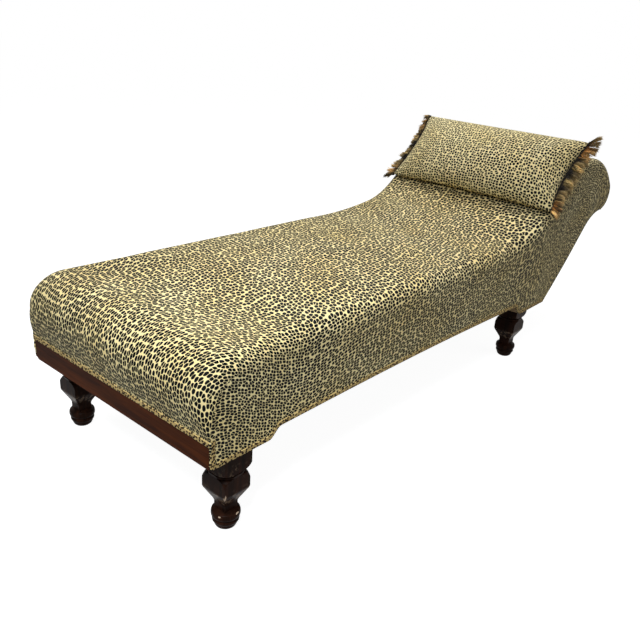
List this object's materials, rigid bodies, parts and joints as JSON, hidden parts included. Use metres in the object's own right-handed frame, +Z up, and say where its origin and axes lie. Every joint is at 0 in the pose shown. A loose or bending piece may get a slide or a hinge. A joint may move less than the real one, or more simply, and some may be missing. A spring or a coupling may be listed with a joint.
{
  "type": "chaise longue",
  "caption": "Chaise longue with a scrolled head end in spotted velvet, on square-turned dark wood legs, with a fringed lumbar pillow",
  "frame": {"origin": "on the floor under the middle of the overall box", "axes": "+X from the foot end to the scrolled head end, +Y to the left of someone facing the head, +Z up"},
  "size_m": [1.9894, 0.7469, 0.7285],
  "materials": {
    "mahogany": "dark red-brown, satin polish, worn at the edges",
    "beech": "raw, sawn",
    "screw_steel": "plain",
    "spring_steel": "coppered wire, dull",
    "jute": "coarse twill tape",
    "hessian": "open plain weave",
    "stuffing": "cotton wadding over fibre",
    "black_cambric": "thin, matt",
    "spotted_velvet": "gold short-pile velvet with small dark spots",
    "braid": "gold gimp with dark and rust flecks",
    "brush_fringe": "cut silky yarn in gold, rust and black blocks"
  },
  "bodies": {
    "chaise": {"foot_rail": "mahogany", "leg_foot_left": "mahogany", "leg_foot_right": "mahogany", "leg_head_left": "mahogany", "leg_head_right": "mahogany", "tack_rail": "beech", "side_rail_left": "beech", "side_rail_right": "beech", "head_cross_rail": "beech", "heel_rail": "beech", "scroll_board_left": "beech", "scroll_board_right": "beech", "crest_rail": "beech", "back_stretcher": "beech", "corner_block_foot_left": "beech", "corner_block_foot_right": "beech", "corner_block_head_left": "beech", "corner_block_head_right": "beech", "cleat_left": "beech", "cleat_right": "beech", "frame_dowels": "beech", "block_screws": "screw_steel", "seat_springs": "spring_steel", "seat_webbing_cross": "jute", "seat_webbing_long": "jute", "head_webbing": "jute", "seat_hessian": "hessian", "head_hessian": "hessian", "back_lining": "hessian", "seat_pad": "stuffing", "head_pad": "stuffing", "dust_cover": "black_cambric", "seat_cover": "spotted_velvet", "head_cover": "spotted_velvet", "outside_back_cover": "spotted_velvet", "gimp_left": "braid", "gimp_right": "braid", "gimp_foot": "braid"},
    "pillow": {"pillow_front": "spotted_velvet", "pillow_back": "spotted_velvet", "pillow_filling": "stuffing", "fringe_left": "brush_fringe", "fringe_right": "brush_fringe"}
  },
  "joints": [
    {"name": "pillow_lift", "type": "slide", "parent": "chaise", "child": "pillow", "axis": [0, 0, 1], "range_m": [0, 0.35]}
  ]
}
